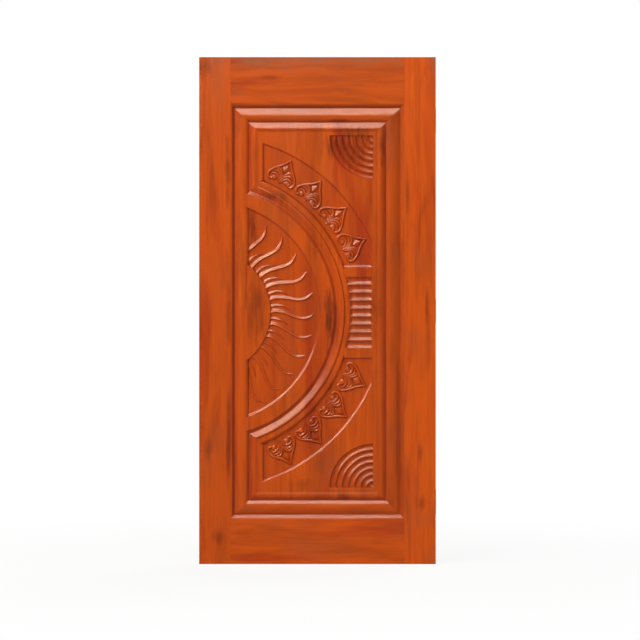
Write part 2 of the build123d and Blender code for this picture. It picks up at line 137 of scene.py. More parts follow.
# Rays and spurs; their sways are degrees
ray_count = 11
ray_first_angle = 55.8
ray_step_angle = 11.47
ray_tip_gap = 25.0
ray_crest = 1.25
ray_lean_share = -0.55
long_ray = Ray(
    width=20.0, top_height=6.4, low_height=3.6,
    radius_shares=(-0.03, 0.12, 0.29, 0.45, 0.61, 0.75, 0.87, 0.96, 1.0),
    width_shares=(1.0, 1.0, 0.92, 0.86, 0.8, 0.74, 0.65, 0.46, 0.2),
    top_sways=(2.3, 2.9, 2.1, 0.6, -0.7, -1.0, -0.1, 1.3, 2.1),
    low_sways=(2.3, 2.8, 1.4, -0.6, -2.4, -3.1, -2.7, -1.4, -0.6),
)
spur = Ray(
    width=13.0, top_height=5.6, low_height=2.5,
    radius_shares=(-0.03, 0.1, 0.23, 0.35, 0.44),
    width_shares=(1.0, 1.0, 0.85, 0.6, 0.15),
    top_sways=(7.2, 8.1, 7.6, 5.4, 2.2),
    low_sways=(7.7, 7.7, 6.9, 5.4, 4.0),
)
ridge_seat = 0.6
ridge_points = 11
ridge_steps = 6
ridge_least_width = 0.6
round_crest = 2.0
sharp_crest = 1.15

# Crescents and their leaves
crescent_radius = 732.0
crescent_side_margin = 20.0
crescent_half_gap = 191.5
crescent_arc_steps = 72
crescent_side_steps = 8
crescent_inner_steps = 80
petal_angles = (25.2, 37.4, 49.6, 61.8)
petal_base_gap = 17.0
petal_tip_gap = 18.0
petal_half_width = 59.0
frond_width_shares = (0.5, 0.8, 1.0, 1.1, 0.6)
frond_places = (
    ((0.05, 0.16), (0.09, 0.3), (0.2, 0.44), (0.41, 0.515), (0.62, 0.465)),
    ((0.06, 0.1), (0.14, 0.24), (0.27, 0.36), (0.49, 0.41), (0.75, 0.355)),
    ((0.09, 0.05), (0.19, 0.16), (0.32, 0.245), (0.53, 0.285), (0.78, 0.24)),
)
petal_sides = [Ridge(15.0, 6.0, round_crest, (0.7, 0.85, 1.0, 1.0, 1.0, 1.0, 1.0, 1.0, 0.9, 0.5), (
    (0.0, 1.0), (0.13, 0.87), (0.36, 0.69), (0.64, 0.53), (0.87, 0.38),
    (0.99, 0.23), (0.95, 0.1), (0.8, 0.03), (0.64, 0.07), (0.62, 0.15),
))]
petal_sides += [Ridge(14.5, 5.0, round_crest, frond_width_shares, places) for places in frond_places]
petal_middle = (
    Ridge(14.5, 5.0, round_crest, (0.7, 0.8, 0.5), ((0.0, 0.0), (0.0, 0.18), (0.0, 0.42))),
    Ridge(33.0, 5.0, sharp_crest, (0.1, 0.7, 1.0, 0.55, 0.0), (
        (0.0, 0.42), (0.0, 0.52), (0.0, 0.62), (0.0, 0.74), (0.0, 0.86),
    )),
)
petal_boss_share = (0.48, 0.125)
petal_boss_radius = 12.0
petal_boss_height = 5.2
boss_rings = 7
boss_columns = 28

# Flutes and fans
flute_count = 9
flute_pitch = 33.0
flute_land = 2.0
flute_depth = 5.8
flute_end_run = 2.0
flute_end_steps = 3
flute_columns = 6
fan_count = 7
fan_pitch = 26.0
fan_land = 1.6
fan_depth = 6.3
fan_margin = 14.0
fan_degrees = 90.0
fan_end_degrees = 0.5
fan_columns = 36
groove_points = 12

# Colours, in linear light
wood_dark = (0.360, 0.035, 0.0016, 1.0)
wood_middle = (0.493, 0.069, 0.0022, 1.0)
wood_light = (0.587, 0.106, 0.0040, 1.0)
wood_streak = (0.174, 0.014, 0.0004, 1.0)
wood_stain_and_shade = (0.066, 0.007, 0.0004, 1.0)
# The next two colours are painted shade: the first darkens hollows and corners, the second sloped faces.
hollow_shade_colour = (0.098, 0.002, 0.0002, 1.0)
slope_shade_colour = (0.183, 0.005, 0.0003, 1.0)
wood_haze = (0.268, 0.058, 0.018, 1.0)
wood_grey = (0.305, 0.089, 0.039, 1.0)
peg_colour = (0.30, 0.045, 0.010, 1.0)
brass_colour = (0.56, 0.38, 0.15, 1.0)
brass_worn = (0.30, 0.19, 0.08, 1.0)
steel_colour = (0.50, 0.48, 0.44, 1.0)
steel_worn = (0.24, 0.22, 0.20, 1.0)
white = (1.0, 1.0, 1.0, 1.0)

# Patterns of the wood; levels are a low and a high value, and the results at each
broad_grain = Grain(9.0, 1.1, detail=4.0, distortion=0.4)
broad_stops = ((0.30, wood_dark), (0.44, wood_middle), (0.60, wood_middle), (0.74, wood_light))
fine_grain = Grain(170.0, 4.0, detail=5.0, roughness=0.65)
fine_tones = ((0.25, 0.90), (0.75, 1.06))
figure_grain = Grain(24.0, 3.2, detail=4.0, distortion=0.6)
figure_tones = ((0.28, 0.74), (0.50, 1.0), (0.75, 1.10))
streak_grain = Grain(46.0, 1.3, detail=3.0, distortion=0.8)
streak_levels = (0.58, 0.76, 0.0, 0.5)
dash_grain = Grain(110.0, 9.0, detail=2.0)
dash_levels = (0.64, 0.82, 0.0, 0.3)
haze_grain = Grain(7.0, 3.0, detail=3.0, distortion=0.3)
haze_levels = (0.52, 0.74, 0.0, 0.45)
ragged_grain = Grain(75.0, 12.0, detail=4.0)
ragged_levels = (0.2, 0.8, -0.7, 0.7)
spot_rim = 1.0
spot_core = 0.1
# Painted shade from here on: where sloped faces start to darken, how the deeper ground of the carving
# darkens, and how far hollows darken.
level_facing = 0.985
sunk_start = 1.0
recess_shade_share = 0.28
# Ambient occlusion that paints shade in hollows: its reach, samples and levels.
hollow_reach = 0.007
hollow_samples = 8
hollow_levels = (0.85, 0.40, 0.0, 0.45)
wear_grain = Grain(14.0, 14.0, detail=4.0)
wear_levels = (0.3, 0.7, 0.17, 0.24)
wave_grain = Grain(26.0, 7.0, detail=2.0)
wave_fine_share = 0.12
wood_bump = (0.35, 0.0012)
lacquer_level = 0.18
lacquer_tint = (1.0, 0.86, 0.68, 1.0)

# Patterns of the pegs and the metals; a finish is two colours, an offset and the least roughness
peg_offset = (2.0, 3.0, 4.0)
peg_grain = Grain(260.0, 20.0, detail=4.0)
peg_stops = ((0.3, wood_streak), (0.7, peg_colour))
peg_levels = (0.3, 0.7, 0.45, 0.62)
peg_bump = (0.3, 0.0004)
tarnish_grain = Grain(60.0, 60.0, detail=5.0)
tarnish_levels = (0.45, 0.70)
tarnish_span = (0.3, 0.7)
tarnish_roughness = 0.22
brush_grain = Grain(900.0, 40.0, detail=3.0)
brush_roughness = 0.08
metal_bump = (0.25, 0.0002)
metal_share = 0.7
hinge_finish = (brass_colour, brass_worn, (1.0, 2.0, 3.0), 0.28)
pin_finish = (steel_colour, steel_worn, (4.0, 5.0, 6.0), 0.22)
screw_finish = (brass_colour, brass_worn, (7.0, 8.0, 9.0), 0.32)

# Timber of each member: its grain direction, its place in the pattern, and what changes its tone.
# A board is its left edge and its tone, and a spot is its middle, its half sizes and its strength.
# Facing at which the painted shade on sloped faces is full.
steep_facing = 0.80
# The panel's sloped faces and the deeper ground of its carving get painted shade.
panel_timber = dict(
    axis="z", offset=(3.1, 7.7, 1.9), slope_shade_share=0.40, steep=0.90, sunk=True,
    boards=((-opening_half, 0.98), (-130.0, 1.05), (-52.0, 0.94), (19.0, 1.04), (176.0, 0.96)),
    stains_and_shade=(
        ((62, 1735), (24, 75), 0.75),
        ((53, 1004), (34, 130), 0.8),
        ((272, 1725), (16, 110), 0.6),
        ((-268, 1400), (30, 100), 0.8),
        ((-262, 1060), (55, 170), 0.5),
        # Brown stain in the ring's upper valley, made larger and darker as painted shade there.
        ((-188, 1525), (64, 28), 0.6),
        ((150, 1785), (95, 45), 0.5),
        ((110, 1715), (85, 95), 0.45),
        ((152, 1706), (80, 70), 0.4),
        # Painted shade over the flutes, dimming their highlights and darkening the strip beside the ring.
        ((182, 1030), (66, 240), 0.36),
        ((-60, 330), (60, 30), 0.35),
        ((112, 275), (48, 26), 0.45),
    ),
)
moulding_timbers = {
    "top": dict(
        axis="x", offset=(1.7, 9.4, 12.8), tone=0.86, slope_shade_share=0.36,
        stains_and_shade=(((92, 1834), (55, 18), 0.55),),
    ),
    "bottom": dict(axis="x", offset=(8.2, 3.6, 2.4), tone=0.96, slope_shade_share=0.36),
    # Painted shade on slopes is strong on the left moulding, whose slopes face right, and weak on the right
    # one.
    "left": dict(axis="z", offset=(11.3, 2.2, 5.1), slope_shade_share=0.55),
    "right": dict(axis="z", offset=(4.9, 6.1, 8.3), tone=0.87, slope_shade_share=0.15),
}
frame_timbers = {
    "left_stile": dict(
        axis="z", offset=(21.0, 4.0, 3.0),
        stains_and_shade=(
            ((-470, 2060), (55, 60), 0.5),
            ((-372, 1640), (14, 190), 0.5),
            ((-368, 520), (12, 260), 0.45),
            ((-368, 1050), (14, 150), 0.4),
            ((-455, 480), (22, 60), 0.4),
            ((-412, 112), (26, 36), 0.5),
        ),
        greys=(((-405, 2085), (62, 40), 0.6), ((-430, 2020), (60, 150), 0.35)),
    ),
    "right_stile": dict(
        axis="z", offset=(33.0, 8.0, 6.0), tone=1.14,
        stains_and_shade=(
            ((455, 1050), (10, 120), 0.45),
            ((431, 250), (28, 42), 0.55),
            ((424, 455), (14, 44), 0.35),
            ((372, 1500), (8, 200), 0.35),
        ),
        greys=(((478, 2085), (22, 60), 0.6),),
    ),
    "top_rail": dict(
        axis="x", offset=(5.0, 17.0, 40.0),
        stains_and_shade=(((-195, 2015), (42, 20), 0.35),),
        greys=(((-200, 2098), (260, 62), 0.8), ((160, 2098), (260, 52), 0.6)),
    ),
    "bottom_rail": dict(axis="x", offset=(15.0, 27.0, 9.0), tone=1.1),
}

# Camera, stage and lights, in metres
view_distance = 10.0
view_width = 2.651
view_x = 0.0105
view_z = 1.011
view_reach = 100.0
sensor_width = 36.0
floor_half = 60.0
floor_grain = Grain(3.0, 3.0, detail=3.0)
floor_tones = ((0.3, 0.60), (0.7, 0.62))
floor_white_radii = (0.5, 2.6)
floor_white_shares = (0.88, 1.0)
sky_strength = 0.06
seen_strength = 1.0
warm_light = (1.0, 0.89, 0.78)
plain_light = (1.0, 1.0, 1.0)
softboxes = {
    "left_softbox": Softbox((-6.2, -4.2, 6.6), 1.1, 8.5, 6.2, 800.0, warm_light, 3.8),
    "top_softbox": Softbox((-1.3, -5.4, 6.1), 1.1, 5.0, 5.4, 288.0, plain_light, 5.0),
    "over_softbox": Softbox((-0.4, -2.1, 7.2), 0.9, 3.2, 2.6, 65.0, plain_light, 5.0),
    "back_softbox": Softbox((3.8, 5.4, 4.4), 1.1, 4.0, 4.0, 420.0, plain_light, 0.15),
}

# Places that follow from the sizes
middle_z = (opening_low + opening_high) / 2
arc_z = middle_z - arc_drop
moulding_width = moulding_drop_width + moulding_round_width + moulding_flat_width + moulding_fall_width
opening_half_height = (opening_high - opening_low) / 2
raised_half = opening_half - moulding_width
raised_half_height = opening_half_height - moulding_width
border_width = border_round_width + border_slope_width
border_reach = border_width + border_quirk_width
field_half = raised_half - border_reach
field_half_height = raised_half_height - border_reach
band_radius = sun_radius + band_width
ring_radius = band_radius + ring_width
ring_valley_radius = band_radius + ring_valley[0] * ring_width
ring_foot_radius = band_radius + ring_foot[0] * ring_width
ring_brink_radius = band_radius + ring_brink[0] * ring_width
flute_end_x = field_half - crescent_side_margin
arc_x = flute_end_x - flute_length - ring_radius
left_limit = -raised_half
sun_left = left_limit - moulding_fall_width
ray_tip_radius = sun_radius - ray_tip_gap
petal_base_radius = ring_radius + petal_base_gap
petal_length = crescent_radius - petal_tip_gap - petal_base_radius


# Shells: points and faces of a piece under construction

class Shell:
    """Closed surfaces that will become one piece."""

    def __init__(self):
        self.points = []
        self.faces = []

    def add(self, points, faces):
        first = len(self.points)
        self.points.extend(tuple(float(value) for value in point) for point in points)
        self.faces.extend(tuple(first + index for index in face) for face in faces)

    def piece(self, name, material):
        """Mesh object in the shared frame, with outward faces and smooth curves between sharp edges."""
        mesh = bpy.data.meshes.new(name)
        places = [(x * mm, (front_y + depth) * mm, z * mm) for x, depth, z in self.points]
        mesh.from_pydata(places, [], self.faces)
        work = bmesh.new()
        work.from_mesh(mesh)
        bmesh.ops.recalc_face_normals(work, faces=work.faces)
        work.to_mesh(mesh)
        work.free()
        mesh.polygons.foreach_set("use_smooth", [True] * len(mesh.polygons))
        mesh.set_sharp_from_angle(angle=math.radians(sharp_degrees))
        mesh.materials.append(material)
        made = bpy.data.objects.new(name, mesh)
        bpy.context.collection.objects.link(made)
        return made


def grid_faces(rows, columns, closed=False):
    """Four-sided faces of a grid whose points are stored row by row; closed rows are rings."""
    faces = []
    for low in range(0, (rows - 1) * columns, columns):
        high = low + columns
        for column in range(columns if closed else columns - 1):
            following = (column + 1) % columns
            faces.append((low + column, low + following, high + following, high + column))
    return faces


def tube_faces(rings, columns):
    """Faces of closed rings with a flat end at the first and the last one."""
    last = (rings - 1) * columns
    ends = [tuple(range(columns)), tuple(range(last + columns - 1, last - 1, -1))]
    return ends + grid_faces(rings, columns, closed=True)


def open_edges(faces):
    """Edges that belong to one face only, in that face's direction."""
    seen = {}
    for face in faces:
        for start, end in zip(face, face[1:] + face[:1]):
            key = (min(start, end), max(start, end))
            seen.setdefault(key, []).append((start, end))
    return [places[0] for places in seen.values() if len(places) == 1]


def open_loops(faces):
    """Closed loops of point numbers round the open edges of a surface."""
    following = dict(open_edges(faces))
    loops = []
    while following:
        first, place = following.popitem()
        loop = [first]
        while place != first:
            loop.append(place)
            place = following.pop(place)
        loops.append(loop)
    return loops


def with_base(points, faces, base_depth):
    """Closes an open carved surface with side walls and a flat base."""
    (loop,) = open_loops(faces)
    below = [(points[index][0], base_depth, points[index][2]) for index in loop]
    lower = {index: len(points) + place for place, index in enumerate(loop)}
    walls = [(end, start, lower[start], lower[end]) for start, end in open_edges(faces)]
    base = tuple(lower[index] for index in reversed(loop))
    return points + below, faces + walls + [base]


# Profiles: lines of across and depth

def rounded_run(start, end):
    """Arc that climbs from start and runs level into end, flattened a little towards its chord."""
    across = end[0] - start[0]
    rise = start[1] - end[1]
    radius = (across ** 2 + rise ** 2) / (2 * rise)
    run = []
    for step in range(round_steps + 1):
        share = step / round_steps
        left = across * (1 - share)
        arc = radius - math.sqrt(radius ** 2 - left ** 2)
        chord = rise * (1 - share)
        flatter = (chord - arc) * round_flat_share * (1 - share)
        run.append((start[0] + across * share, end[1] + arc + flatter))
    return run


def corner_curve(start, corner, end):
    """Short curve that cuts a corner."""
    made = []
    for step in range(corner_steps + 1):
        share = step / corner_steps
        made.append((1 - share) ** 2 * start + 2 * share * (1 - share) * corner + share ** 2 * end)
    return made


def softened(profile, ease, least_degrees=corner_least_degrees):
    """Profile with its sharp corners eased by short curves, and a guard point beside each curve."""
    profile = [np.array(place, float) for place in profile]
    guard = 1 + corner_guard_share
    made = [profile[0]]
    for before, corner, after in zip(profile, profile[1:], profile[2:]):
        in_length = np.linalg.norm(before - corner)
        out_length = np.linalg.norm(after - corner)
        inward = (before - corner) / in_length
        outward = (after - corner) / out_length
        turn = math.acos(max(-1.0, min(1.0, np.dot(-inward, outward))))
        if math.degrees(turn) < least_degrees:
            made.append(corner)
            continue
        reach = min(ease, min(in_length, out_length) * corner_reach_share / guard)
        made.append(corner + inward * reach * guard)
        made += corner_curve(corner + inward * reach, corner, corner + outward * reach)
        made.append(corner + outward * reach * guard)
    made.append(profile[-1])
    return [tuple(place) for place in made]


def groove_rows(count, pitch, land, depth, first):
    """Round-bottomed grooves side by side from the middle of the first one, as offsets and depths."""
    half = (pitch - land) / 2
    radius = (half ** 2 + depth ** 2) / (2 * depth)
    groove = []
    for step in range(groove_points + 1):
        offset = half * (2 * step / groove_points - 1)
        groove.append((offset, depth - radius + math.sqrt(radius ** 2 - offset ** 2)))
    groove.append((pitch / 2, 0.0))
    rows = [(first - pitch / 2, 0.0)]
    for index in range(count):
        rows += [(first + index * pitch + offset, low) for offset, low in groove]
    return rows


def smooth_line(places):
    """Dense points on a smooth curve through the places, which may carry more values than two."""
    places = np.array(places, float)
    padded = np.vstack((2 * places[0] - places[1], places, 2 * places[-1] - places[-2]))
    made = []
    for index in range(len(places) - 1):
        a, b, c, d = padded[index:index + 4]
        for step in range(ridge_steps):
            t = step / ridge_steps
            made.append(0.5 * (2 * b + (c - a) * t + (2 * a - 5 * b + 4 * c - d) * t ** 2
                               + (3 * b - a - 3 * c + d) * t ** 3))
    made.append(places[-1])
    return np.array(made)


# Mouldings

def between_ends(shell, first, last):
    """Straight strip between two matching outlines."""
    shell.add(first + last, tube_faces(2, len(first)))


def strip(shell, section, half, half_height, side):
    """Mitred strip along one side of a rectangle; across is measured inward in its closed section."""
    turn = 1 if side in ("top", "right") else -1
    ends = []
    for share in (-1, 1):
        x_way, z_way = (share, turn) if side in ("top", "bottom") else (turn, share)
        ends.append([
            (x_way * (half - across), depth, middle_z + z_way * (half_height - across))
            for across, depth in section
        ])
    between_ends(shell, *ends)


def front_section():
    """Front strip: a shoulder and a drop beside the frame, a quarter round, a roll and a fall."""
    valley = (moulding_drop_width, moulding_valley_depth)
    shoulder = (moulding_drop_width + moulding_round_width + moulding_roll_width, moulding_crest_depth)
    crest = (moulding_width - moulding_fall_width, moulding_crest_depth + moulding_roll_depth)
    foot = (moulding_width, moulding_foot_depth)
    visible = [(0, moulding_lip_depth), (moulding_shoulder_width, moulding_shoulder_depth)]
    visible += rounded_run(valley, shoulder)
    visible += reversed(rounded_run(foot, crest))
    return softened(visible, moulding_ease) + [(moulding_width, rebate_depth), (0, rebate_depth)]


def back_section():
    """Back strip: a flat and a long bevel."""
    top = panel_back_depth + back_moulding_height
    visible = [
        (0, panel_back_depth),
        (0, top),
        (back_moulding_flat, top),
        (back_moulding_width, panel_back_depth + back_moulding_edge),
        (back_moulding_width, panel_back_depth),
    ]
    return softened(visible, back_moulding_ease)


def mouldings(materials):
    """Eight mitred strips, four on the front and four on the back."""
    made = []
    for face, section in (("front", front_section()), ("back", back_section())):
        for side in ("top", "bottom", "left", "right"):
            shell = Shell()
            strip(shell, section, opening_half, opening_half_height, side)
            piece = shell.piece(f"{face}_moulding_{side}_eased", materials[side])
            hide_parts(f"{face}_moulding_{side}")
            made.append(piece)
    return made


# Panel

def border_section(quirk_depth):
    """Raised border of the panel: a quarter round, a slope back and a quirk beside the field."""
    visible = rounded_run((0, moulding_foot_depth), (border_round_width, border_top_depth))
    visible += [(border_width, quirk_depth), (border_reach + border_tuck, quirk_depth)]
    tail = [(border_reach + border_tuck, rebate_depth), (0, rebate_depth)]
    return softened(visible, border_ease, border_least_degrees) + tail


def border(shell):
    """Border on four sides; the left side is mitred to the ring above and below the sun."""
    section = border_section(border_quirk_depth)
    for side in ("bottom", "right"):
        strip(shell, section, raised_half, raised_half_height, side)
    strip(shell, border_section(border_top_quirk_depth), raised_half, raised_half_height, "top")
    for side in (1, -1):
        corner = []
        meeting = []
        for across, depth in section:
            x = left_limit + across
            radius = ring_valley_radius + across / border_reach * (ring_foot_radius - ring_valley_radius)
            height = math.sqrt(radius ** 2 - (x - arc_x) ** 2)
            meeting.append((x, depth, arc_z + side * height))
            corner.append((x, depth, middle_z + side * (raised_half_height - across)))
        between_ends(shell, meeting, corner)


def board(shell):
    """Plain board behind the carving, whose edges sit in the grooves of the frame."""
    half = opening_half + panel_tongue
    low = opening_low - panel_tongue
    high = opening_high + panel_tongue
    front, back = (
        [(-half, depth, low), (half, depth, low), (half, depth, high), (-half, depth, high)]
        for depth in (rebate_depth, panel_back_depth)
    )
    between_ends(shell, front, back)


def about_centre(radius, degrees, across=0.0):
    """Place at a radius and an angle from the centre of the arcs, and a distance across that radius."""
    turn = math.radians(degrees)
    x = arc_x + radius * math.cos(turn) - across * math.sin(turn)
    return x, arc_z + radius * math.sin(turn) + across * math.cos(turn)


def arc_line(radius, first, last, steps):
    """Even places on an arc between two angles in radians, with heights above the centre of the arcs."""
    turns = [first + (last - first) * step / steps for step in range(steps + 1)]
    return [(arc_x + radius * math.cos(turn), radius * math.sin(turn)) for turn in turns]


def sun_profile():
    """Depth of the hub, the sun's ground, the band and the ring against radius."""
    walls = softened([
        (sun_left - arc_x + hub_start, field_depth),
        (hub_radius - wall_half_run, field_depth),
        (hub_radius + wall_half_run, carving_depth),
        (sun_radius - wall_half_run, carving_depth),
        (sun_radius + wall_half_run, field_depth),
        (band_radius - wall_guard, field_depth),
    ], wall_ease)
    ring = [(band_radius - wall_guard, field_depth)]
    ring += [(band_radius + share * ring_width, depth) for share, depth in ring_section]
    ring.append((ring_radius + ring_tuck, carving_depth + ring_tuck / 2))
    return walls + softened(ring, ring_ease)[1:]


def sun_start(radius, depth):
    """Left end of the sun's carving: level with the moulding, or at its foot, or on the ring's mitre."""
    if radius > ring_valley_radius:
        share = (radius - ring_valley_radius) / (ring_foot_radius - ring_valley_radius)
        return left_limit + min(share, 1.0) * border_reach
    sunk = min(max((depth - field_depth) / level_slack, 0.0), 1.0)
    return sun_left + sunk * moulding_fall_width


def sun(shell):
    """Hub, sunk ground, band and ring, cut off by the left moulding and the border."""
    profile = sun_profile()
    points = []
    for radius, depth in profile:
        reach = math.acos((sun_start(radius, depth) - arc_x) / radius)
        arc = arc_line(radius, reach, -reach, sun_columns)
        points += [(x, depth, arc_z + height) for x, height in arc]
    shell.add(*with_base(points, grid_faces(len(profile), sun_columns + 1), rebate_depth))


def ridge_row(place, way, width, height, crest, lean):
    """Points of a ridge's section at one place, from foot to foot over its crest."""
    row = []
    for share in np.linspace(-1, 1, ridge_points):
        reach = 1 - lean if share > lean else 1 + lean
        lift = height * (1 - (abs(share - lean) / reach) ** crest)
        side = share * width / 2
        x = max(place[0] - way[1] * side, left_limit)
        row.append((x, carving_depth + ridge_seat - lift, place[1] + way[0] * side))
    return row


def ridge(shell, places, widths, height, crest, lean=0.0):
    """Ridge on the sunk ground; lean is the share of its half width by which its crest is off the middle."""
    line = smooth_line([(x, z, width) for (x, z), width in zip(places, widths)])
    inside = np.flatnonzero(line[:, 0] + line[:, 2] / 2 > left_limit)
    if len(inside) < ridge_steps:
        return
    line = line[inside[0]:]
    ways = np.gradient(line[:, :2], axis=0)
    ways /= np.linalg.norm(ways, axis=1)[:, None]
    wides = np.maximum(line[:, 2], ridge_least_width)
    lifts = (height + ridge_seat) * np.minimum(1.0, 2 * wides / max(widths))
    points = []
    for place, way, wide, lift in zip(line[:, :2], ways, wides, lifts):
        points += ridge_row(place, way, wide, lift, crest, lean)
    shell.add(points, tube_faces(len(line), ridge_points))


def between(first, last, share):
    """Value or row of values that is a share of the way from first to last."""
    return np.array(first) * (1 - share) + np.array(last) * share


def swayed_ridge(shell, ray, angle, share):
    """Ray that sways about its own angle, at a share of the way from the top to the foot of the sun."""
    reach = ray_tip_radius - hub_radius
    sways = between(ray.top_sways, ray.low_sways, share)
    places = [
        about_centre(hub_radius + along * reach, angle + sway)
        for along, sway in zip(ray.radius_shares, sways)
    ]
    widths = [wide * ray.width for wide in ray.width_shares]
    height = between(ray.top_height, ray.low_height, share)
    ridge(shell, places, widths, height, ray_crest, ray_lean_share)


def rays(shell):
    """Long wavy rays with a short spur in each gap between them; the sway changes from top to foot."""
    for index in range(ray_count):
        angle = ray_first_angle - index * ray_step_angle
        for ray in (long_ray, spur):
            swayed_ridge(shell, ray, angle, index / (ray_count - 1))


def crescent_path(side, inset):
    """Outline of a crescent except its ring side, from the ring on the left to the ring on the right."""
    half = flute_end_x - inset
    near = crescent_half_gap + inset
    outer = crescent_radius - inset
    left = -half - arc_x
    right = half - arc_x
    start = (-half, math.sqrt(ring_radius ** 2 - left ** 2))
    arc = arc_line(outer, math.acos(left / outer), math.acos(right / outer), crescent_arc_steps)
    corner = (half, near)
    end = (arc_x + math.sqrt(ring_radius ** 2 - near ** 2), near)
    path = line_between(start, arc[0]) + arc + line_between(arc[-1], corner)[1:] + [corner]
    path += line_between(corner, end)[1:] + [end]
    return [(x, arc_z + side * height) for x, height in path]


def line_between(start, end):
    """Even points from start up to, but without, end."""
    shares = [step / crescent_side_steps for step in range(crescent_side_steps)]
    return [tuple(between(start, end, share)) for share in shares]


def ring_side(start, end, radius):
    """Points along the ring between two places, without those places."""
    first, last = (math.atan2(z - arc_z, x - arc_x) for x, z in (start, end))
    arc = arc_line(radius, first, last, crescent_inner_steps)
    return [(x, arc_z + height) for x, height in arc[1:-1]]


def crescent_surface(side):
    """Sloped walls and sunk ground of a crescent."""
    wall = softened([
        (-wall_half_run - wall_guard, field_depth),
        (-wall_half_run, field_depth),
        (wall_half_run, carving_depth),
        (wall_half_run + wall_guard, carving_depth),
    ], wall_ease)
    points = []
    for inset, depth in wall:
        path = crescent_path(side, inset)
        points += [(x, depth, z) for x, z in path]
    first = len(points) - len(path)
    points += [(x, carving_depth, z) for x, z in ring_side(path[-1], path[0], ring_radius)]
    ground = tuple(range(first, len(points)))
    return points, grid_faces(len(wall), len(path)) + [ground]


def petal_place(angle, share, mirror):
    """Place in a leaf from its shares of half width and length; the leaf points away from the centre."""
    along = petal_base_radius + share[1] * petal_length
    return about_centre(along, angle, share[0] * petal_half_width * mirror)


def petal_ridge(shell, angle, part, mirror):
    """Ridge of a leaf along places that are given as shares."""
    places = [petal_place(angle, share, mirror) for share in part.places]
    ridge(shell, places, [share * part.width for share in part.width_shares], part.height, part.crest)


def boss(shell, place, radius, height):
    """Low round dome on the sunk ground."""
    x, z = place
    points = []
    for ring in range(boss_rings):
        turn = math.pi / 2 * ring / boss_rings
        reach = radius * math.cos(turn)
        depth = carving_depth + ridge_seat - (height + ridge_seat) * math.sin(turn)
        for column in range(boss_columns):
            around = 2 * math.pi * column / boss_columns
            points.append((x + reach * math.cos(around), depth, z + reach * math.sin(around)))
    faces = [tuple(range(boss_columns))] + grid_faces(boss_rings, boss_columns, closed=True)
    top = len(points)
    last = top - boss_columns
    points.append((x, carving_depth - height, z))
    for column in range(boss_columns):
        faces.append((last + column, last + (column + 1) % boss_columns, top))
    shell.add(points, faces)


def petal(shell, angle):
    """Heart-shaped leaf: a rim that curls in at the base, nested fronds, a stem and a ridged bud."""
    for mirror in (-1, 1):
        for part in petal_sides:
            petal_ridge(shell, angle, part, mirror)
        boss(shell, petal_place(angle, petal_boss_share, mirror), petal_boss_radius, petal_boss_height)
    for part in petal_middle:
        petal_ridge(shell, angle, part, 1)


def flute_places(length):
    """Places along a flute, and the share of its depth there; it runs out in a round at both ends."""
    inner = length - 2 * flute_end_run
    shares = [step / flute_end_steps for step in range(flute_end_steps)]
    places = [(flute_end_run * share, share) for share in shares]
    places += [(flute_end_run + inner * step / flute_columns, 1.0) for step in range(flute_columns + 1)]
    places += [(length - flute_end_run * share, share) for share in reversed(shares)]
    return [(across, math.sin(share * math.pi / 2)) for across, share in places]


def flute_surface():
    """Straight round-bottomed grooves between the ring and the margin of the field."""
    first = -(flute_count - 1) / 2 * flute_pitch
    rows = groove_rows(flute_count, flute_pitch, flute_land, flute_depth, first)
    points = []
    for height, depth in rows:
        start = arc_x + math.sqrt((ring_brink_radius + flute_land) ** 2 - height ** 2)
        columns = flute_places(flute_end_x - start)
        for across, share in columns:
            points.append((start + across, field_depth + depth * share, arc_z + height))
    return points, grid_faces(len(rows), len(columns))


def fan_surface(side):
    """Quarter-round grooves about a point near a corner of the field."""
    centre_x = field_half - fan_margin
    centre_z = middle_z + side * (field_half_height - fan_margin)
    rows = groove_rows(fan_count, fan_pitch, fan_land, fan_depth, fan_pitch / 2)[1:]
    span = fan_degrees - 2 * fan_end_degrees
    turns = [(0.0, 0.0)]
    turns += [(fan_end_degrees + span * step / fan_columns, 1.0) for step in range(fan_columns + 1)]
    turns.append((fan_degrees, 0.0))
    points = []
    for radius, depth in rows:
        for degrees, share in turns:
            turn = math.radians(degrees)
            x = centre_x - radius * math.cos(turn)
            points.append((x, field_depth + depth * share, centre_z - side * radius * math.sin(turn)))
    return points, grid_faces(len(rows), len(turns))


def inside_loop(places, loop):
    """Whether each place lies inside a closed loop."""
    inside = np.zeros(len(places), bool)
    x, z = places[:, 0], places[:, 1]
    for (x1, z1), (x2, z2) in zip(loop, loop[1:] + loop[:1]):
        if z1 == z2:
            continue
        crosses = (z1 > z) != (z2 > z)
        at = x1 + (z - z1) * (x2 - x1) / (z2 - z1)
        inside ^= crosses & (x < at)
    return inside


def field_outline():
    """Outline of the field, round its corners and back along the ring and the crescents."""
    top = middle_z + field_half_height
    low = middle_z - field_half_height
    edge = math.sqrt(ring_brink_radius ** 2 - (field_half + arc_x) ** 2)
    upper = crescent_path(1, -wall_half_run - wall_guard)
    lower = crescent_path(-1, -wall_half_run - wall_guard)
    top_left = (-field_half, arc_z + edge)
    low_left = (-field_half, arc_z - edge)
    corners = [(-field_half, top), (field_half, top), (field_half, low), (-field_half, low)]
    outline = [top_left] + corners + [low_left]
    radius, other = ring_brink_radius, ring_radius
    for place in (lower[0], lower[-1], upper[-1], upper[0], top_left):
        outline += ring_side(outline[-1], place, radius) + [place]
        radius, other = other, radius
    return outline[:-1]


def numbered(loops):
    """Places of several loops without doubles, and the edges between them as pairs of numbers."""
    numbers = {}
    places = []
    edges = []
    for loop in loops:
        indices = []
        for x, z in loop:
            key = (round(x, field_weld_digits), round(z, field_weld_digits))
            if key not in numbers:
                numbers[key] = len(places)
                places.append(Vector((x, z)))
            indices.append(numbers[key])
        edges += [(a, b) for a, b in zip(indices, indices[1:] + indices[:1]) if a != b]
    return places, edges


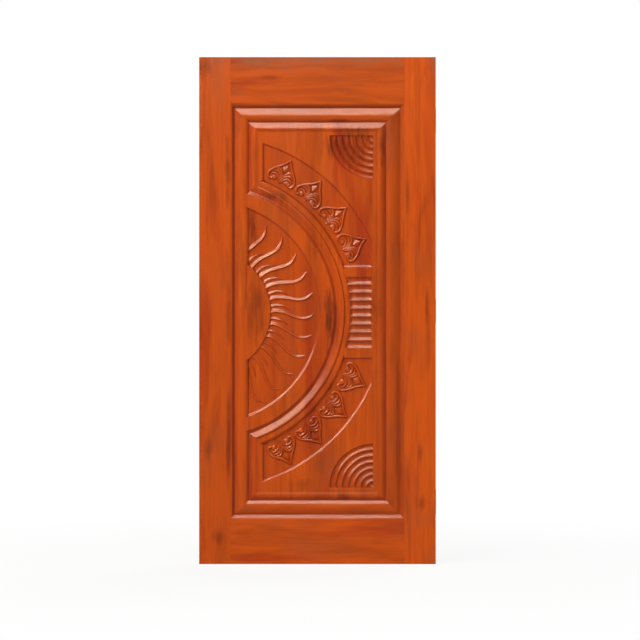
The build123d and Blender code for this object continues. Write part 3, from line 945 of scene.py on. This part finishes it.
def flat_triangles(outline, holes):
    """Places and triangles of a flat sheet with holes."""
    flat, _, triangles, _, _, _ = delaunay_2d_cdt(*numbered([outline] + holes), [], 0, field_weld)
    flat = np.array([(place.x, place.y) for place in flat])
    triangles = np.array(triangles)
    centres = flat[triangles].mean(axis=1)
    kept = inside_loop(centres, outline)
    for hole in holes:
        kept &= ~inside_loop(centres, hole)
    return flat, triangles[kept]


def field(shell, carvings):
    """Flat field of the panel round the carvings, which are given as surfaces."""
    holes = []
    for points, faces in carvings:
        for loop in open_loops(faces):
            holes.append([(points[index][0], points[index][2]) for index in loop])
    flat, triangles = flat_triangles(field_outline(), holes)
    used = np.unique(triangles)
    upper = [(x, field_depth, z) for x, z in flat[used]]
    lower = [(x, rebate_depth, z) for x, z in flat[used]]
    faces = [tuple(int(index) for index in face) for face in np.searchsorted(used, triangles)]
    count = len(used)
    walls = [(end, start, start + count, end + count) for start, end in open_edges(faces)]
    base = [tuple(index + count for index in reversed(face)) for face in faces]
    shell.add(upper + lower, faces + walls + base)


def carved_panel(material):
    """The whole carved panel as one piece."""
    shell = Shell()
    board(shell)
    border(shell)
    sun(shell)
    carvings = [crescent_surface(1), crescent_surface(-1), flute_surface(), fan_surface(1), fan_surface(-1)]
    for points, faces in carvings:
        shell.add(*with_base(points, faces, rebate_depth))
    field(shell, carvings)
    rays(shell)
    for angle in petal_angles:
        petal(shell, angle)
        petal(shell, -angle)
    piece = shell.piece("carved_panel_fine", material)
    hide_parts("carved_panel")
    return piece


# Materials

class Graph:
    """Shader nodes of one material or world."""

    def __init__(self, block):
        self.block = block
        block.use_nodes = True
        self.tree = block.node_tree
        self.tree.nodes.clear()

    def add(self, kind, inputs, **settings):
        """Node with its settings, and its inputs linked or set to a constant."""
        node = self.tree.nodes.new(kind)
        for key, value in settings.items():
            setattr(node, key, value)
        for key, value in inputs.items():
            if isinstance(value, bpy.types.NodeSocket):
                self.tree.links.new(value, node.inputs[key])
            else:
                node.inputs[key].default_value = value
        return node

    def places(self, kind="Object"):
        return self.add("ShaderNodeTexCoord", {}).outputs[kind]

    def part(self, vector, axis):
        return self.add("ShaderNodeSeparateXYZ", {"Vector": vector}).outputs[axis]

    def noise(self, places, axis, offset, grain):
        """Pattern that is stretched along one axis."""
        scale = [grain.along if name == axis else grain.across for name in "xyz"]
        moved = self.add("ShaderNodeMapping", {"Vector": places, "Location": offset, "Scale": scale})
        made = self.add("ShaderNodeTexNoise", {
            "Vector": moved.outputs["Vector"], "Scale": 1.0, "Detail": grain.detail,
            "Roughness": grain.roughness, "Distortion": grain.distortion,
        })
        return made.outputs["Fac"]

    def ramp(self, value, stops, interpolation="LINEAR"):
        made = self.add("ShaderNodeValToRGB", {"Fac": value})
        made.color_ramp.interpolation = interpolation
        elements = made.color_ramp.elements
        while len(elements) < len(stops):
            elements.new(1.0)
        for element, (place, colour) in zip(elements, stops):
            element.position = place
            element.color = colour
        return made.outputs["Color"]

    def level(self, value, low, high, low_out=0.0, high_out=1.0):
        """Straight change from one result to another as the value goes from low to high."""
        made = self.add("ShaderNodeMapRange", {
            "Value": value, "From Min": low, "From Max": high, "To Min": low_out, "To Max": high_out,
        }, clamp=True)
        return made.outputs["Result"]

    def maths(self, operation, *values):
        return self.add("ShaderNodeMath", dict(enumerate(values)), operation=operation).outputs["Value"]

    def length(self, vector):
        return self.add("ShaderNodeVectorMath", {0: vector}, operation="LENGTH").outputs["Value"]

    def blend(self, share, first, second, mode="MIX"):
        """Mix of two colours; the node's colour sockets come after its number and vector sockets."""
        made = self.add("ShaderNodeMix", {0: share, 6: first, 7: second}, data_type="RGBA", blend_type=mode)
        return made.outputs[2]

    def toned(self, colour, value, tones, interpolation="LINEAR"):
        """Colour made lighter or darker by tones that follow a value."""
        stops = [(place, grey(tone)) for place, tone in tones]
        return self.blend(1.0, colour, self.ramp(value, stops, interpolation), "MULTIPLY")

    def bump(self, height, strength, distance):
        made = self.add("ShaderNodeBump", {"Strength": strength, "Distance": distance, "Height": height})
        return made.outputs["Normal"]

    def seen(self):
        """One for rays that show the background: straight, mirrored or through glass."""
        path = self.add("ShaderNodeLightPath", {}).outputs
        mirrored = self.maths("MAXIMUM", path["Is Glossy Ray"], path["Is Transmission Ray"])
        return self.maths("MAXIMUM", path["Is Camera Ray"], mirrored)

    def mixed(self, share, first, second):
        made = self.add("ShaderNodeMixShader", {0: share, 1: first, 2: second})
        return made.outputs["Shader"]

    def surface(self, inputs):
        shader = self.add("ShaderNodeBsdfPrincipled", inputs)
        self.add("ShaderNodeOutputMaterial", {"Surface": shader.outputs["BSDF"]})
        return self.block


def material_graph(name):
    return Graph(bpy.data.materials.new(name))


def grey(value):
    return (value, value, value, 1.0)


def bare_wood(graph, places, axis, offset):
    """Broad bands, fine grain, figure, dark streaks and dashes, and a pale haze."""
    colour = graph.ramp(graph.noise(places, axis, offset, broad_grain), broad_stops)
    for grain, tones in ((fine_grain, fine_tones), (figure_grain, figure_tones)):
        colour = graph.toned(colour, graph.noise(places, axis, offset, grain), tones)
    for grain, levels in ((streak_grain, streak_levels), (dash_grain, dash_levels)):
        share = graph.level(graph.noise(places, axis, offset, grain), *levels)
        colour = graph.blend(share, colour, wood_streak)
    haze = graph.noise(places, axis, offset[::-1], haze_grain)
    return graph.blend(graph.level(haze, *haze_levels), colour, wood_haze)


def boarded(graph, places, colour, boards):
    """Boards side by side across the opening, each with its own tone."""
    width = graph.level(graph.part(places, "X"), -opening_half * mm, opening_half * mm)
    tones = [((edge + opening_half) / (2 * opening_half), tone) for edge, tone in boards]
    return graph.toned(colour, width, tones, "CONSTANT")


def spotted(graph, places, ragged, colour, spots, shade):
    """Oval spots with ragged edges."""
    for (x, z), (wide, tall), strength in spots:
        local = graph.add("ShaderNodeMapping", {
            "Vector": places,
            "Location": (-x / wide, 0.0, -z / tall),
            "Scale": (1 / (wide * mm), 0.0, 1 / (tall * mm)),
        })
        away = graph.maths("ADD", graph.length(local.outputs["Vector"]), ragged)
        colour = graph.blend(graph.level(away, spot_rim, spot_core, 0.0, strength), colour, shade)
    return colour


# Painted shade: faces darken the more they slope away from the front.
def paint_slope_shade(graph, colour, slope_shade_share, steep):
    facing = graph.maths("ABSOLUTE", graph.part(graph.places("Normal"), "Y"))
    return graph.blend(graph.level(facing, level_facing, steep, 0.0, slope_shade_share), colour, slope_shade_colour)


# Painted shade: the ground of the carving darkens with its depth below the field.
def paint_recess_shade(graph, places, colour):
    start = (front_y + field_depth + sunk_start) * mm
    end = (front_y + carving_depth) * mm
    deep = graph.level(graph.part(places, "Y"), start, end, 0.0, recess_shade_share)
    return graph.blend(deep, colour, wood_dark)


# Painted shade: ambient occlusion darkens corners, creases and hollows.
def paint_hollow_shade(graph, colour):
    hollow = graph.add("ShaderNodeAmbientOcclusion", {"Distance": hollow_reach}, samples=hollow_samples)
    return graph.blend(graph.level(hollow.outputs["AO"], *hollow_levels), colour, hollow_shade_colour)


def lacquered(graph, places, axis, offset, colour):
    """Slightly wavy and unevenly worn lacquer over the colour."""
    wear = graph.noise(places, axis, offset, wear_grain)
    fine = graph.noise(places, axis, offset, fine_grain)
    waves = graph.noise(places, axis, offset, wave_grain)
    height = graph.maths("ADD", graph.maths("MULTIPLY", fine, wave_fine_share), waves)
    return graph.surface({
        "Base Color": colour,
        "Roughness": graph.level(wear, *wear_levels),
        "Normal": graph.bump(height, *wood_bump),
        "Specular IOR Level": lacquer_level,
        "Specular Tint": lacquer_tint,
    })


def wood(name, axis, offset, tone=1.0, boards=(), stains_and_shade=(), greys=(), slope_shade_share=0.0,
         steep=steep_facing, sunk=False):
    """Lacquered reddish timber with painted shade: darker on its slopes by the share given, darker on the
    deeper ground of the carving when sunk is set, and darker in every hollow.
    """
    graph = material_graph(name)
    places = graph.places()
    colour = bare_wood(graph, places, axis, offset)
    if tone != 1.0:
        colour = graph.blend(1.0, colour, grey(tone), "MULTIPLY")
    if boards:
        colour = boarded(graph, places, colour, boards)
    if stains_and_shade or greys:
        ragged = graph.level(graph.noise(places, axis, offset, ragged_grain), *ragged_levels)
        colour = spotted(graph, places, ragged, colour, stains_and_shade, wood_stain_and_shade)
        colour = spotted(graph, places, ragged, colour, greys, wood_grey)
    if slope_shade_share > 0.0:
        colour = paint_slope_shade(graph, colour, slope_shade_share, steep)
    if sunk:
        colour = paint_recess_shade(graph, places, colour)
    return lacquered(graph, places, axis, offset, paint_hollow_shade(graph, colour))


def metal(name, bright, worn, offset, smooth):
    """Metal with fine brushing, darker worn patches and a slightly uneven surface."""
    graph = material_graph(name)
    places = graph.places()
    tarnish = graph.noise(places, "z", offset, tarnish_grain)
    brush = graph.noise(places, "z", offset, brush_grain)
    uneven = graph.level(tarnish, *tarnish_span, smooth, smooth + tarnish_roughness)
    return graph.surface({
        "Base Color": graph.blend(graph.level(tarnish, *tarnish_levels), bright, worn),
        "Metallic": metal_share,
        "Roughness": graph.maths("ADD", uneven, graph.maths("MULTIPLY", brush, brush_roughness)),
        "Normal": graph.bump(brush, *metal_bump),
    })


def end_grain(name):
    """Peg ends: close rings of darker wood."""
    graph = material_graph(name)
    rings = graph.noise(graph.places(), "y", peg_offset, peg_grain)
    return graph.surface({
        "Base Color": graph.ramp(rings, peg_stops),
        "Roughness": graph.level(rings, *peg_levels),
        "Normal": graph.bump(rings, *peg_bump),
    })


# Stage

def floor_material():
    """Pale floor that keeps the shadow of the leaf and is near white where it is seen."""
    graph = material_graph("pale_floor")
    places = graph.places()
    speckle = graph.noise(places, "z", (0.0, 0.0, 0.0), floor_grain)
    matt = graph.add("ShaderNodeBsdfDiffuse", {"Color": graph.toned(white, speckle, floor_tones)})
    glow = graph.add("ShaderNodeEmission", {"Color": white, "Strength": seen_strength})
    paleness = graph.level(graph.length(places), *floor_white_radii, *floor_white_shares)
    share = graph.maths("MULTIPLY", graph.seen(), paleness)
    both = graph.mixed(share, matt.outputs["BSDF"], glow.outputs["Emission"])
    graph.add("ShaderNodeOutputMaterial", {"Surface": both})
    return graph.block


def white_floor():
    mesh = bpy.data.meshes.new("floor")
    corners = [(x * floor_half, y * floor_half, 0.0) for x, y in ((-1, -1), (1, -1), (1, 1), (-1, 1))]
    mesh.from_pydata(corners, [], [(0, 1, 2, 3)])
    mesh.materials.append(floor_material())
    floor = bpy.data.objects.new("floor", mesh)
    bpy.context.collection.objects.link(floor)


def white_world():
    """White where it is seen, a soft even light to everything else."""
    graph = Graph(bpy.data.worlds.new("studio"))
    soft = graph.add("ShaderNodeBackground", {"Color": white, "Strength": sky_strength})
    bright = graph.add("ShaderNodeBackground", {"Color": white, "Strength": seen_strength})
    both = graph.mixed(graph.seen(), soft.outputs["Background"], bright.outputs["Background"])
    graph.add("ShaderNodeOutputWorld", {"Surface": both})
    bpy.context.scene.world = graph.block


def lamp(name, box, power, reflected):
    """Area lamp that either lights surfaces or shows in reflections only."""
    light = bpy.data.lights.new(name, "AREA")
    light.shape = "RECTANGLE"
    light.color = box.colour
    light.size = box.width
    light.size_y = box.depth
    light.energy = power
    light.cycles.use_multiple_importance_sampling = not reflected
    made = bpy.data.objects.new(name, light)
    made.visible_diffuse = not reflected
    made.visible_glossy = reflected
    made.location = box.place
    aim = Vector((0.0, 0.0, box.aim_height)) - Vector(box.place)
    made.rotation_euler = aim.to_track_quat("-Z", "Y").to_euler()
    bpy.context.collection.objects.link(made)


def camera():
    """Long lens square to the leaf."""
    data = bpy.data.cameras.new("camera")
    data.sensor_width = sensor_width
    data.lens = sensor_width * view_distance / view_width
    data.clip_end = view_reach
    made = bpy.data.objects.new("camera", data)
    bpy.context.collection.objects.link(made)
    made.location = (view_x, front_y * mm - view_distance, view_z)
    made.rotation_euler = (math.pi / 2, 0.0, 0.0)
    bpy.context.scene.camera = made


# The scene

def ease_edges(thing):
    """Joins the faces of a sawn member and rounds its edges slightly."""
    weld = thing.modifiers.new("join", "WELD")
    weld.merge_threshold = frame_weld * mm
    bevel = thing.modifiers.new("ease", "BEVEL")
    bevel.width = frame_edge_round * mm
    bevel.segments = frame_edge_segments
    bevel.limit_method = "ANGLE"
    bevel.angle_limit = math.radians(frame_edge_degrees)


def paint(thing, material):
    thing.data.materials.clear()
    thing.data.materials.append(material)


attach(carved_panel(wood("panel_wood", **panel_timber)), "leaf")
moulding_woods = {
    side: wood(f"{side}_moulding_wood", **timber) for side, timber in moulding_timbers.items()
}
for moulding in mouldings(moulding_woods):
    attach(moulding, "leaf")

for member, timber in frame_timbers.items():
    paint(nodes[member], wood(f"{member}_wood", **timber))
    ease_edges(nodes[member])
paint(nodes["tenon_pegs"], end_grain("peg_wood"))
paint(nodes["hinge_screws"], metal("screw_brass", *screw_finish))
hinge_brass = metal("hinge_brass", *hinge_finish)
pin_steel = metal("pin_steel", *pin_finish)
for level in ("bottom", "middle", "top"):
    paint(nodes[f"hinge_{level}_leaf_plate"], hinge_brass)
    paint(nodes[f"hinge_{level}_frame_plate"], hinge_brass)
    paint(nodes[f"hinge_{level}_pin"], pin_steel)

white_floor()
white_world()
for name, box in softboxes.items():
    lamp(f"{name}_fill", box, box.power, reflected=False)
    lamp(f"{name}_gloss", box, box.power * box.gloss_gain, reflected=True)
camera()
bpy.context.scene.view_settings.view_transform = "Standard"
